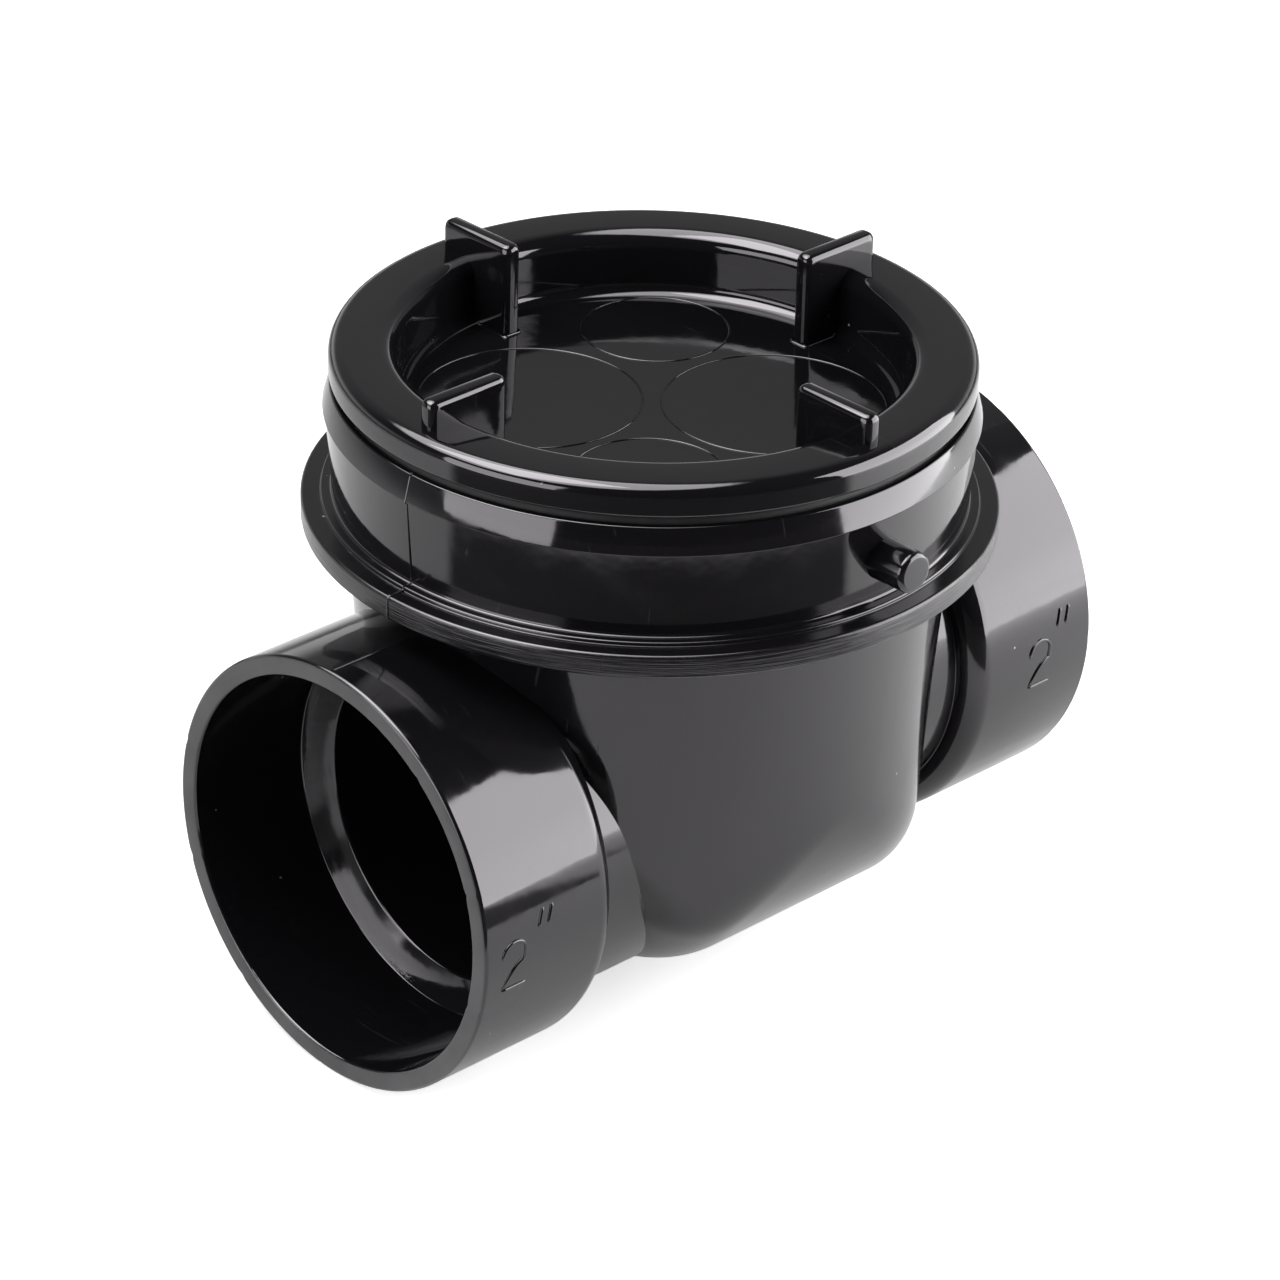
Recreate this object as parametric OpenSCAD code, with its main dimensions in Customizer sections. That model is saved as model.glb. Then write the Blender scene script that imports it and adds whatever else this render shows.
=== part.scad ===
// Backwater valve for a 2 inch drain pipe, in millimetres.
// X runs along the pipes from outlet to inlet, Z is up, and the origin is the centre of the outlet's stop.
// Water comes in at +X, lifts the hanging flapper and leaves at -X; water coming back presses it shut.

/* [Sockets] */
// bore of both sockets, a slip fit on a 60.3 pipe
socket_d = 60.5; // [60.4:0.1:61]
// how far the pipe goes in
socket_depth = 20.5; // [18:0.5:24]
// wall of the socket hubs
hub_wall = 3.15; // [2.8:0.05:4]
// distance from the collar's axis to each socket stop
stop_reach = 41.8; // [41.5:0.1:44]
// inlet axis above outlet axis
inlet_rise = 8; // [6:0.5:9]
// water way of the outlet
throat_d = 50; // [46:0.5:51]
// outside of the two necks
neck_d = 59; // [58.5:0.1:60]

/* [Chamber] */
// outside radius of the round wall under the flange
chamber_r = 44.6; // [44:0.1:46]
// taper of the round wall, degrees
chamber_draft = 3.8; // [3:0.1:4.5]
// bottom of the trough below the outlet axis
chamber_depth = 29.7; // [29.6:0.1:31]
// wall thickness of the chamber
chamber_wall = 4; // [3.5:0.1:4.5]

/* [Flange and collar] */
// flange outside radius
flange_r = 51.3; // [50.5:0.1:54]
// underside of the flange above the outlet axis
flange_z = 37.85; // [37.5:0.05:39]
// flange thickness
flange_t = 3.65; // [3:0.05:4.5]
// collar outside radius at its foot
collar_foot_r = 46.6; // [46.4:0.1:47]
// collar outside radius at its top band
band_r = 48.1; // [48:0.1:49.5]
// height of the collar above the flange
collar_h = 18; // [17.5:0.1:19]
// height of the proud band at the collar's top
band_h = 4.2; // [3.6:0.1:4.4]
// length of the peg on the collar's side
peg_len = 8.2; // [6:0.1:10]
// peg diameter at its root
peg_d = 6.8; // [5:0.1:8]

/* [Cover] */
// cover rim radius
rim_r = 47.2; // [46.8:0.1:48]
// cover rim height
rim_h = 4.7; // [4.2:0.1:5.5]
// gap between rim and collar, held open by the ring
rim_gap = 1.4; // [1.2:0.1:1.6]
// radius of the recess in the cover's top
recess_r = 37.2; // [35:0.1:38]
// depth of the recess below the rim
recess_depth = 10.1; // [9:0.1:10.5]
// lug height above the rim
lug_h = 4.4; // [3:0.1:6]
// lug thickness
lug_t = 3; // [2.4:0.1:4]
// skirt length below the rim
skirt_len = 15.9; // [15:0.1:16]

/* [Flapper and seat] */
// water way through the seat
port_d = 47; // [44:0.5:48]
// lean of the seat from upright, degrees
seat_lean = 10; // [8:0.5:12]
// seat centre from the collar's axis
seat_x = 23; // [22:0.25:24]
// hinge above the seat centre, along the seat
hinge_up = 34; // [33:0.25:35]
// hinge pin diameter
pin_d = 3.2; // [2.5:0.1:3.5]
// flapper plate thickness
plate_t = 3; // [2.5:0.1:3.5]
// rubber thickness
seal_t = 2.5; // [2:0.1:3]

/* [Hidden] */
$fn = 96;
// a hair of overlap, so that cuts pass through faces
eps = 0.1;

// Sockets and necks
socket_r = socket_d / 2;
hub_r = socket_r + hub_wall;
neck_r = neck_d / 2;
throat_r = throat_d / 2;
mouth_reach = stop_reach + socket_depth;
// the hub's back stands this far behind the stop and is rounded nearly down to the neck
hub_back = 5.3;
hub_back_round = hub_r - neck_r - 0.2;
rim_edge = 0.6;
// the stop's face slopes in this far towards the throat
stop_slope = 2;

// Trough under the chamber: a level cylinder just wide enough to cross the round wall cleanly at its sides
trough_extra = 0.6;
wall_r0 = chamber_r - flange_z * tan(chamber_draft);
trough_z = (wall_r0 * cos(chamber_draft) + trough_extra - chamber_depth) / (1 - sin(chamber_draft));
trough_r = trough_z + chamber_depth;
// the round wall's bottom edge is broken by steeper tapers: their start, their height, how far they go in
edge_z = -14;
edge_h = 7;
edge_in = 3;
// under the outlet neck the chamber's end leans in, this far out at the outlet axis
toe_reach = 30.6;
toe_lean = 22.8;
toe_top = 2;

// Collar
flange_top = flange_z + flange_t;
collar_top = flange_top + collar_h;
band_z = collar_top - band_h;
flange_step_h = 0.6;
flange_step_r = collar_foot_r + 1.8;
mould_edge = 0.5;
opening_r = 40;
thread_depth = 1.4;
skirt_r = 42.2;
thread_bore_r = skirt_r + thread_depth;
skirt_wall = 3.2;
thread_floor_gap = 0.8;

// Ring under the cover: it fills the groove between collar and cover
ring_lip = 2.05;
ring_groove_r = band_r - ring_lip;
ring_land_gap = 0.3;
ring_section = 3.2;
rim_z = collar_top + rim_gap;
groove_z = rim_z - ring_section;
ring_r = ring_groove_r - ring_section / 2 - 0.15;
ring_land_r = ring_r - ring_section / 2 - ring_land_gap;

// Cover
rim_top = rim_z + rim_h;
floor_z = rim_top - recess_depth;
floor_t = 4;
skirt_bottom = rim_z - skirt_len;
rim_round = 2;
recess_fillet = 2;
lug_in = 30;
lug_out = 44.4;
lug_round = 1;

// Peg
peg_z = flange_top + collar_h / 2;
peg_tip_d = peg_d - 0.8;
peg_edge = 0.8;

// Seat ring
port_r = port_d / 2;
seat_r = neck_r - 3.3;
seat_fit = 0.05;
seat_end = stop_reach - stop_slope + 0.4;
seal_groove_w = 2;
seal_groove_depth = 1.3;
seal_groove_x = seat_end - 2.2;
ear_t = 4;
ear_in = 13;
ear_r = 4.2;
ear_foot = 8;

// Flapper, in the seat's own frame: x up along the seat, z out of its face
flapper_r = seat_r + 0.6;
rest_gap = 0.05;
plate_z = rest_gap + seal_t;
hinge_out = plate_z + plate_t / 2;
spigot_r = 16.8;
knuckle_r = 4;
knuckle_in = 4;
knuckle_gap = 0.4;
pin_r = pin_d / 2;
pin_running_gap = 0.06;
pin_fit_gap = 0.01;
rib_h = 2.5;
rib_t = 2.4;

// Seal retainer and its screws
retainer_r = 20.5;
retainer_t = 2;
screw_count = 3;
screw_circle_r = 10;
screw_r = 1.45;
screw_head_r = 3;
screw_head_h = 1.6;
screw_len = 9;
boss_r = 4;
boss_h = 4;
screw_gap = 0.05;

// Pin washers
washer_r = 3.6;
washer_t = 0.8;
pin_stub = 1.2;
pin_half = ear_in + ear_t + washer_t + pin_stub;

moulded = [0.07, 0.07, 0.075];
rubber = [0.03, 0.03, 0.03];
steel = [0.72, 0.73, 0.75];

function wall_r(z) = wall_r0 + z * tan(chamber_draft);
function toe_x(z, inset) = inset / cos(toe_lean) - toe_reach - z * tan(toe_lean);

// Pieces are drawn about the collar's axis and moved here to the outlet stop
module in_frame() translate([stop_reach, 0, 0]) children();

// The seat's frame, on the inlet axis and leaning back so that the flapper hangs shut
module on_seat() translate([seat_x, 0, inlet_rise]) rotate([0, seat_lean - 90, 0]) children();

// What a rounded outer corner leaves over, for a corner whose arc centre is the origin
module corner(r) {
    difference() {
        square(2 * r);
        circle(r);
    }
}

// What a fillet adds in an inner corner at the origin that opens towards -x and +y
module fillet(r) {
    difference() {
        translate([-r, 0]) square(r);
        translate([-r, r]) circle(r);
    }
}

module toward_outlet() rotate([0, -90, 0]) children();

module toward_inlet() translate([0, 0, inlet_rise]) rotate([0, 90, 0]) children();

// Socket hub and neck, turned about Z with the mouth up
module hub_and_neck() {
    hub_z = stop_reach - hub_back;
    rotate_extrude() difference() {
        union() {
            square([neck_r, hub_z + eps]);
            translate([0, hub_z]) square([hub_r, mouth_reach - hub_z]);
        }
        translate([hub_r - hub_back_round, hub_z + hub_back_round]) mirror([0, 1]) corner(hub_back_round);
        translate([hub_r - rim_edge, mouth_reach - rim_edge]) corner(rim_edge);
    }
}

// Pipe socket with its sloped stop, and the way through into the chamber
module socket_hollow(way_r) {
    translate([0, 0, stop_reach]) cylinder(r = socket_r, h = socket_depth + eps);
    translate([0, 0, stop_reach - stop_slope]) cylinder(r1 = way_r, r2 = socket_r, h = stop_slope);
    translate([0, 0, seat_x - 5]) cylinder(r = way_r, h = stop_reach - stop_slope - seat_x + 5 + eps);
}

// Half the section of the round wall: its taper, and below it the steeper ones that break the bottom edge
module wall_section(inset) {
    high = flange_z + 1;
    side = inset / cos(chamber_draft);
    start = edge_z + inset / 3;
    start_r = wall_r(start) - side;
    polygon([[0, high], [wall_r(high) - side, high], [start_r, start], [start_r - edge_in, start - edge_h],
             [start_r - 4 * edge_in, start - 2 * edge_h], [start_r - 6 * edge_in, start - 2.5 * edge_h],
             [0, start - 2.5 * edge_h]]);
}

// What the leaning end takes off the chamber; its level top lies hidden inside the neck
module toe_cut(inset) {
    top = toe_top + inset;
    low = -chamber_depth - 4;
    far = -2 * chamber_r;
    rotate([90, 0, 0]) linear_extrude(height = 3 * chamber_r, center = true)
        polygon([[far, top], [toe_x(top, inset), top], [toe_x(low, inset), low], [far, low]]);
}

// The chamber's form: a round tapered wall that ends below in a level trough
module chamber_form(inset) {
    difference() {
        intersection() {
            rotate_extrude() wall_section(inset);
            rotate([90, 0, 90]) linear_extrude(height = 3 * chamber_r, center = true) {
                translate([0, trough_z]) circle(trough_r - inset);
                translate([-2 * chamber_r, trough_z]) square([4 * chamber_r, 2 * chamber_r]);
            }
        }
        toe_cut(inset);
    }
}

module flange_and_collar() {
    rotate_extrude() difference() {
        union() {
            translate([0, flange_z]) square([flange_r, flange_t]);
            translate([0, flange_top - eps]) square([flange_step_r, flange_step_h + eps]);
            polygon([[0, flange_top], [collar_foot_r, flange_top], [band_r - 0.4, band_z + eps],
                     [0, band_z + eps]]);
            translate([0, band_z]) square([band_r, band_h]);
        }
        translate([band_r - mould_edge, collar_top - mould_edge]) corner(mould_edge);
        translate([flange_r - mould_edge, flange_top - mould_edge]) corner(mould_edge);
        translate([flange_r - mould_edge, flange_z + mould_edge]) mirror([0, 1]) corner(mould_edge);
    }
}

module collar_hollow() {
    translate([0, 0, flange_z - 2]) cylinder(r = opening_r, h = collar_h + flange_t + 4);
    translate([0, 0, skirt_bottom - thread_floor_gap]) cylinder(r = thread_bore_r, h = 2 * collar_h);
    translate([0, 0, groove_z]) cylinder(r = ring_groove_r, h = 2 * ring_section);
}

// Short moulded peg that stands out of the collar's side
module peg() {
    reach = band_r + peg_len;
    translate([0, 0, peg_z]) rotate([90, 0, 0]) rotate_extrude() difference() {
        polygon([[0, thread_bore_r + 1], [peg_d / 2, thread_bore_r + 1], [peg_tip_d / 2, reach],
                 [0, reach]]);
        translate([peg_tip_d / 2 - peg_edge, reach - peg_edge]) corner(peg_edge);
    }
}

module valve_body() {
    color(moulded) in_frame() difference() {
        union() {
            chamber_form(0);
            toward_outlet() hub_and_neck();
            toward_inlet() hub_and_neck();
            flange_and_collar();
            peg();
        }
        chamber_form(chamber_wall);
        toward_outlet() socket_hollow(throat_r);
        toward_inlet() socket_hollow(seat_r + seat_fit);
        collar_hollow();
    }
}

// Hinge ear: an eye round the pin on a web that grows out of the tube's top, drawn in the seat's frame
module ear() {
    rotate([90, 0, 0]) linear_extrude(height = ear_t, center = true) {
        translate([hinge_up, hinge_out]) circle(ear_r);
        polygon([[hinge_up + 1, hinge_out - ear_r], [hinge_up - ear_r, hinge_out + 1], [seat_r - 2.2, -0.6],
                 [seat_r - 6, -4], [seat_r - 6, -ear_foot], [seat_r - 1.5, -ear_foot]]);
    }
}

module seat_ring() {
    color(moulded) in_frame() difference() {
        union() {
            intersection() {
                toward_inlet() cylinder(r = seat_r, h = seat_end);
                on_seat() translate([0, 0, -80]) cylinder(r = 60, h = 80);
            }
            on_seat() for (side = [-1, 1]) translate([0, side * (ear_in + ear_t / 2), 0]) ear();
        }
        toward_inlet() cylinder(r = port_r, h = seat_end + eps);
        toward_inlet() translate([0, 0, seal_groove_x - seal_groove_w / 2]) difference() {
            cylinder(r = seat_r + 1, h = seal_groove_w);
            cylinder(r = seat_r - seal_groove_depth, h = seal_groove_w);
        }
        on_seat() translate([hinge_up, 0, hinge_out]) rotate([90, 0, 0])
            cylinder(r = pin_r + pin_fit_gap, h = 60, center = true);
    }
}

module seat_o_ring() {
    inner = seat_r - seal_groove_depth;
    outer = seat_r + seat_fit;
    section = (outer - inner) / 2 - 0.01;
    color(rubber) in_frame() toward_inlet() translate([0, 0, seal_groove_x])
        rotate_extrude() translate([(inner + outer) / 2, 0]) circle(section, $fn = 24);
}

module hinge_pin() {
    color(steel) in_frame() on_seat() translate([hinge_up, 0, hinge_out]) rotate([90, 0, 0])
        cylinder(r = pin_r, h = 2 * pin_half, center = true);
}

module pin_washers() {
    color(steel) in_frame() on_seat() translate([hinge_up, 0, hinge_out]) rotate([90, 0, 0])
        for (side = [-1, 1]) translate([0, 0, side * (ear_in + ear_t + washer_t / 2)]) difference() {
            cylinder(r = washer_r, h = washer_t, center = true);
            cylinder(r = pin_r + pin_fit_gap, h = 2 * washer_t, center = true);
        }
}

// Hinge arm: a knuckle on a bar that runs down the back of the plate as a rib
module arm() {
    width = ear_in - knuckle_gap - knuckle_in;
    back = plate_z + plate_t;
    rotate([90, 0, 0]) linear_extrude(height = width, center = true) {
        translate([hinge_up, hinge_out]) circle(knuckle_r);
        polygon([[hinge_up, hinge_out + knuckle_r], [flapper_r - 8, back + rib_h], [-18, back + rib_h],
                 [-21, back], [-21, back - 1], [flapper_r - 4, plate_z], [hinge_up - knuckle_r, plate_z],
                 [hinge_up - knuckle_r + 0.2, hinge_out]]);
    }
}

module at_screws() {
    for (i = [0 : screw_count - 1])
        rotate(60 + i * 360 / screw_count) translate([screw_circle_r, 0, 0]) children();
}

module flapper() {
    arm_y = (ear_in - knuckle_gap + knuckle_in) / 2;
    color(moulded) in_frame() on_seat() difference() {
        union() {
            translate([0, 0, plate_z]) cylinder(r = flapper_r, h = plate_t);
            translate([0, 0, rest_gap]) cylinder(r = spigot_r, h = seal_t + eps);
            translate([0, 0, plate_z]) difference() {
                cylinder(r = flapper_r, h = plate_t + rib_h / 2);
                cylinder(r = flapper_r - rib_t, h = 2 * plate_t + rib_h);
            }
            at_screws() translate([0, 0, plate_z]) cylinder(r = boss_r, h = plate_t + boss_h);
            for (side = [-1, 1]) translate([0, side * arm_y, 0]) arm();
        }
        translate([hinge_up, 0, hinge_out]) rotate([90, 0, 0])
            cylinder(r = pin_r + pin_running_gap, h = 60, center = true);
        at_screws() translate([0, 0, rest_gap - eps])
            cylinder(r = screw_r + screw_gap, h = screw_len - retainer_t + 0.6);
    }
}

module flapper_seal() {
    color(rubber) in_frame() on_seat() translate([0, 0, rest_gap]) difference() {
        cylinder(r = flapper_r - 0.2, h = seal_t);
        translate([0, 0, -eps]) cylinder(r = spigot_r + screw_gap, h = seal_t + 2 * eps);
    }
}

module seal_retainer() {
    color(moulded) in_frame() on_seat() translate([0, 0, rest_gap - retainer_t]) difference() {
        cylinder(r = retainer_r, h = retainer_t);
        at_screws() translate([0, 0, -eps]) cylinder(r = screw_r + 0.2, h = retainer_t + 2 * eps);
    }
}

module retainer_screws() {
    color(steel) in_frame() on_seat() at_screws() translate([0, 0, rest_gap - retainer_t]) {
        translate([0, 0, -screw_head_h]) cylinder(r = screw_head_r, h = screw_head_h);
        cylinder(r = screw_r, h = screw_len);
    }
}

module cover_o_ring() {
    color(rubber) in_frame() translate([0, 0, groove_z + ring_section / 2])
        rotate_extrude() translate([ring_r, 0]) circle(ring_section / 2 - 0.02, $fn = 32);
}

// Turning lug: a radial wall with rounded top corners and edges, on the recess floor and over the rim
module lug() {
    top = rim_top + lug_h;
    foot = floor_z - 1;
    rim_foot = rim_top - rim_h / 2;
    intersection() {
        rotate([90, 0, 0]) linear_extrude(height = lug_t, center = true) difference() {
            union() {
                translate([lug_in, foot]) square([recess_r + 1 - lug_in, top - foot]);
                translate([lug_in, rim_foot]) square([lug_out - lug_in, top - rim_foot]);
            }
            translate([lug_out - lug_round, top - lug_round]) corner(lug_round);
            translate([lug_in + lug_round, top - lug_round]) mirror([1, 0]) corner(lug_round);
        }
        rotate([90, 0, 90]) linear_extrude(height = 2 * lug_out) difference() {
            translate([-lug_t / 2, foot]) square([lug_t, top - foot]);
            for (side = [0, 1]) mirror([side, 0])
                translate([lug_t / 2 - lug_round, top - lug_round]) corner(lug_round);
        }
    }
}

module access_cover() {
    color(moulded) in_frame() {
        rotate_extrude() {
            difference() {
                union() {
                    translate([0, rim_z]) square([rim_r, rim_h]);
                    translate([0, groove_z]) square([ring_land_r, ring_section + eps]);
                    translate([0, floor_z - floor_t]) square([skirt_r, groove_z - floor_z + floor_t + eps]);
                    translate([skirt_r - skirt_wall, skirt_bottom]) square([skirt_wall, skirt_len]);
                }
                translate([0, floor_z]) square([recess_r, recess_depth + eps]);
                translate([rim_r - rim_round, rim_top - rim_round]) corner(rim_round);
                translate([rim_r - mould_edge, rim_z + mould_edge]) mirror([0, 1]) corner(mould_edge);
                translate([recess_r + rim_round, rim_top - rim_round]) mirror([1, 0]) corner(rim_round);
            }
            translate([recess_r + 0.01, floor_z - 0.01]) fillet(recess_fillet);
        }
        for (turn = [0 : 90 : 270]) rotate(turn) lug();
    }
}

valve_body();
seat_ring();
seat_o_ring();
hinge_pin();
pin_washers();
flapper();
flapper_seal();
seal_retainer();
retainer_screws();
cover_o_ring();
access_cover();
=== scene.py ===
import math

import bpy
import numpy as np
from mathutils import Matrix, Vector


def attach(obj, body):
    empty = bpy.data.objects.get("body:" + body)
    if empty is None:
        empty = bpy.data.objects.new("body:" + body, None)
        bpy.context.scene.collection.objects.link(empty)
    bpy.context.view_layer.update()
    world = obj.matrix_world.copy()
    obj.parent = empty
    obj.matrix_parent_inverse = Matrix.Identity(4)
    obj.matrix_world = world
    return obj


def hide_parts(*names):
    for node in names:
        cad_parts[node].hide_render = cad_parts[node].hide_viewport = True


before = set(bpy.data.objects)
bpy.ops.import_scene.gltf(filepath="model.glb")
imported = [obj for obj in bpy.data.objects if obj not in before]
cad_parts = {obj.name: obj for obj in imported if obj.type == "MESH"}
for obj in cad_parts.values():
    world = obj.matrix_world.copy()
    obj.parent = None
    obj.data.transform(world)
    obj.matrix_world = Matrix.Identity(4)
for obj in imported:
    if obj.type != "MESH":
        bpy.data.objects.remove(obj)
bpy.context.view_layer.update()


# Valve body
# One injection moulding in glossy black ABS: two pipe hubs on necks, the round chamber that ends below in a
# trough, the turned flange, the upright collar and a short peg. Sizes are millimetres about the collar's axis.
MM = 0.001
COLLAR_X = 41.8
SOCKET_R = 30.25
HUB_R = 33.4
HUB_MIDDLE_R = (SOCKET_R + HUB_R) / 2
NECK_R = 29.5
NECK_FROM = 12.0
STOP = 41.8
STOP_CONE = 2.0
MOUTH = 62.3
HUB_BACK = 36.5
HUB_BACK_ROUND = 3.7
THROAT_R = 25.0
INLET_BORE_R = 26.25
INLET_Z = 8.0
CHAMBER_R = 44.6
CHAMBER_WALL = 4.0
CHAMBER_DEPTH = 29.7
DRAFT = math.radians(3.8)
FLANGE_R = 51.3
FLANGE_Z = 37.85
FLANGE_TOP = 41.5
COLLAR_TOP = 59.5
BAND_R = 48.1
BAND_Z = 55.3
BAND_LEAN = 1.05
COLLAR_FOOT_R = 46.6
FOOT_STEP = 1.8
FOOT_STEP_H = 0.6
OPENING_R = 40.0
THREAD_BORE_R = 43.6
GROOVE_R = 46.05
GROOVE_Z = 57.7
THREAD_FLOOR = 44.2
PEG_R = 3.2
PEG_Z = 48.7
PEG_TIP = 53.6

# radius that rolls over the chamber's bottom edges, how much wider the trough is than the wall beside it, and
# the end that leans in under the outlet neck and fades out towards its top
ROLL = 13.0
TROUGH_SPARE = 0.6
TOE_REACH = 30.6
TOE_LEAN = math.radians(22.8)
TOE_TOP = 2.0
TOE_FADE_Z = -8.0
TOE_FADE = 1.5
NO_TOE = 60.0
PULL_ROUNDS = 50
BEYOND_WALL = 90.0
HALVINGS = 22
wall_at_axis = CHAMBER_R - FLANGE_Z * math.tan(DRAFT)
trough_z = (wall_at_axis * math.cos(DRAFT) + TROUGH_SPARE - CHAMBER_DEPTH) / (1 - math.sin(DRAFT))
trough_r = trough_z + CHAMBER_DEPTH


def into_wall(p):
    """Points pulled inside the round tapered wall, less the rolling radius."""
    radial = np.hypot(p[..., 0], p[..., 1]) + 1e-9
    out = np.maximum((radial - wall_at_axis - p[..., 2] * math.tan(DRAFT)) * math.cos(DRAFT) + ROLL, 0)
    side = out * math.cos(DRAFT) / radial
    return p - np.stack([p[..., 0] * side, p[..., 1] * side, -out * math.sin(DRAFT)], -1)


def into_trough(p):
    """Points pulled inside the level trough, less the rolling radius."""
    below = np.minimum(p[..., 2] - trough_z, 0)
    across = np.hypot(p[..., 1], below) + 1e-9
    out = np.where(below < 0, np.maximum(across - trough_r + ROLL, 0) / across, 0)
    return p - np.stack([np.zeros_like(out), p[..., 1] * out, below * out], -1)


def into_toe(p, fade):
    """Points pulled inside the leaning end, less the rolling radius; fade moves that end out of the way."""
    c, s = math.cos(TOE_LEAN), math.sin(TOE_LEAN)
    out = np.maximum(ROLL - fade - p[..., 0] * c - p[..., 2] * s - TOE_REACH * c, 0)
    return p + np.stack([out * c, np.zeros_like(out), out * s], -1)


def chamber_distance(p, inset):
    """How far points lie outside the chamber's wall: the distance to its core, less the rolling radius."""
    rise = np.clip((p[..., 2] - TOE_FADE_Z) / (TOE_TOP - TOE_FADE_Z), 0, 1)
    fade = np.where(p[..., 2] > TOE_TOP, NO_TOE, TOE_FADE * rise * rise * (3 - 2 * rise))
    core = p
    slack = [np.zeros_like(p) for _ in range(3)]
    for _ in range(PULL_ROUNDS):
        for k, pull in enumerate((into_wall, into_trough, lambda q: into_toe(q, fade))):
            pushed = core + slack[k]
            core = pull(pushed)
            slack[k] = pushed - core
    return np.linalg.norm(p - core, axis=-1) - ROLL + inset


def reach(start, direction, inset):
    """Distance along each direction from start to the chamber's wall."""
    near = np.zeros(direction.shape[:-1])
    far = np.full(direction.shape[:-1], BEYOND_WALL)
    for _ in range(HALVINGS):
        middle = (near + far) / 2
        outside = chamber_distance(start + direction * middle[..., None], inset) > 0
        far = np.where(outside, middle, far)
        near = np.where(outside, near, middle)
    return (near + far) / 2


def strip(rows, keep=None):
    """Points and faces of a tube made of rings of points; keep picks faces by their centres."""
    rows = np.asarray(rows, float)
    count, around = rows.shape[:2]
    here = np.arange(count * around).reshape(count, around)
    beside = np.roll(here, -1, axis=1)
    faces = np.stack([here[:-1], beside[:-1], beside[1:], here[1:]], -1).reshape(-1, 4)
    points = rows.reshape(-1, 3)
    if keep is not None:
        faces = faces[keep(points[faces].mean(axis=1))]
    return points, faces.tolist()


def rounded(corners, steps=6):
    """A profile through (r, z, radius) corners, each turned into an arc of that radius."""
    path = []
    for i, (r, z, radius) in enumerate(corners):
        here = np.array([r, z])
        if radius == 0 or i in (0, len(corners) - 1):
            path.append(here)
            continue
        before = np.array(corners[i - 1][:2]) - here
        after = np.array(corners[i + 1][:2]) - here
        before = before / np.linalg.norm(before)
        after = after / np.linalg.norm(after)
        half = math.acos(float(np.clip(before @ after, -1, 1))) / 2
        centre = here + (before + after) / np.linalg.norm(before + after) * radius / math.sin(half)
        first = here + before * radius / math.tan(half) - centre
        last = here + after * radius / math.tan(half) - centre
        for step in range(steps + 1):
            turn = first + (last - first) * step / steps
            path.append(centre + turn / np.linalg.norm(turn) * radius)
    return np.array(path)


def turned(profile, around=192):
    """A profile of (r, z) turned about the collar's axis."""
    angle = np.linspace(0, 2 * math.pi, around, endpoint=False)
    rows = [np.stack([r * np.cos(angle), r * np.sin(angle), np.full(around, z)], -1) for r, z in profile]
    return strip(rows)


def bead(path, radius, sides=10, closed=False):
    """A round bead along a path of points; its radius may change along the way."""
    path = np.asarray(path, float)
    if closed:
        ahead = np.roll(path, -1, axis=0) - np.roll(path, 1, axis=0)
    else:
        ahead = np.gradient(path, axis=0)
    ahead = ahead / np.linalg.norm(ahead, axis=1)[:, None]
    level = np.eye(3)[np.argmin(np.abs(ahead).mean(axis=0))]
    side = np.cross(ahead, level)
    side = side / np.linalg.norm(side, axis=1)[:, None]
    over = np.cross(side, ahead)
    angle = np.linspace(0, 2 * math.pi, sides, endpoint=False)[None, :, None]
    width = (np.zeros(len(path)) + radius)[:, None, None]
    rows = path[:, None] + width * (np.cos(angle) * side[:, None] - np.sin(angle) * over[:, None])
    if closed:
        rows = np.concatenate([rows, rows[:1]])
    return strip(rows)


def build(name, shells, finish, body, sharp=38):
    """One object out of several shells, shaded smooth but for its sharp edges, on a CAD body."""
    points = []
    faces = []
    for shell_points, shell_faces in shells:
        faces += [[index + len(points) for index in face] for face in shell_faces]
        points += [((x + COLLAR_X) * MM, y * MM, z * MM) for x, y, z in shell_points]
    mesh = bpy.data.meshes.new(name)
    mesh.from_pydata(points, [], faces)
    mesh.validate()
    mesh.polygons.foreach_set("use_smooth", [True] * len(mesh.polygons))
    mesh.set_sharp_from_angle(angle=math.radians(sharp))
    piece = bpy.data.objects.new(name, mesh)
    bpy.context.scene.collection.objects.link(piece)
    mesh.materials.append(finish)
    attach(piece, body)
    return piece


class Shade:
    """A socket in a material. Arithmetic on it adds Math nodes, and node() adds any other node."""

    def __init__(self, tree, socket=None):
        self.tree = tree
        self.socket = socket

    def node(self, kind, settings=None, sockets=None, output=0):
        made = self.tree.nodes.new(kind)
        for key, value in (settings or {}).items():
            setattr(made, key, value)
        for key, value in (sockets or {}).items():
            if isinstance(value, Shade):
                self.tree.links.new(value.socket, made.inputs[key])
            else:
                made.inputs[key].default_value = value
        return Shade(self.tree, made.outputs[output]) if len(made.outputs) else None

    def math(self, operation, first, second):
        return self.node("ShaderNodeMath", {"operation": operation}, {0: first, 1: second})

    def __add__(self, other):
        return self.math("ADD", self, other)

    __radd__ = __add__

    def __mul__(self, other):
        return self.math("MULTIPLY", self, other)

    __rmul__ = __mul__

    def __sub__(self, other):
        return self.math("SUBTRACT", self, other)

    def __rsub__(self, other):
        return self.math("SUBTRACT", other, self)

    def __gt__(self, other):
        return self.math("GREATER_THAN", self, other)

    def __lt__(self, other):
        return self.math("LESS_THAN", self, other)

    def between(self, low, high):
        """0 below low, 1 above high, smooth between."""
        return self.node("ShaderNodeMapRange", {"interpolation_type": "SMOOTHSTEP"},
                         {"Value": self, "From Min": low, "From Max": high})

    def mix(self, first, second):
        """The colour first where this is 0 and second where it is 1."""
        return self.node("ShaderNodeMix", {"data_type": "RGBA"}, {0: self, 6: first, 7: second}, output=2)


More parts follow.
